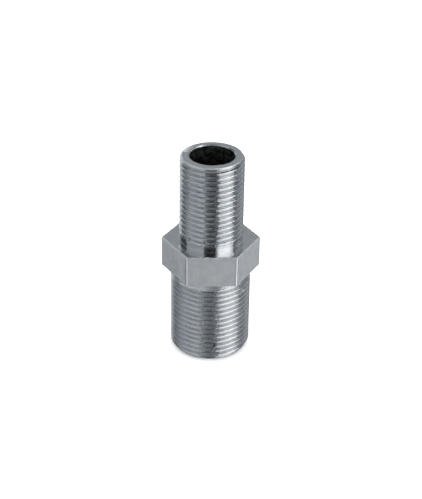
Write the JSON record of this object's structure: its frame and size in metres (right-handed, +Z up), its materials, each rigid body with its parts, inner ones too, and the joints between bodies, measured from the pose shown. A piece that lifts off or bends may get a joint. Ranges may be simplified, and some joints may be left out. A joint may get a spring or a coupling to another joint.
{
  "type": "reducing hex nipple",
  "caption": "Chrome-plated reducing hex nipple: male parallel pipe threads above and below a spanner hexagon, with a waterway bored right through.",
  "frame": {"origin": "centre of the lower end face, on the axis of the bore, where the nipple stands", "axes": "+Z up the bore towards the smaller thread, X through two opposite hex corners, Y square to two opposite hex flats"},
  "size_m": [0.032, 0.028, 0.07],
  "materials": {
    "chrome_plated_brass": "polished plate on turned faces and threads, satin with fine upright lines on the hex flats"
  },
  "bodies": {
    "root": {"nipple_body": "chrome_plated_brass"}
  },
  "joints": []
}
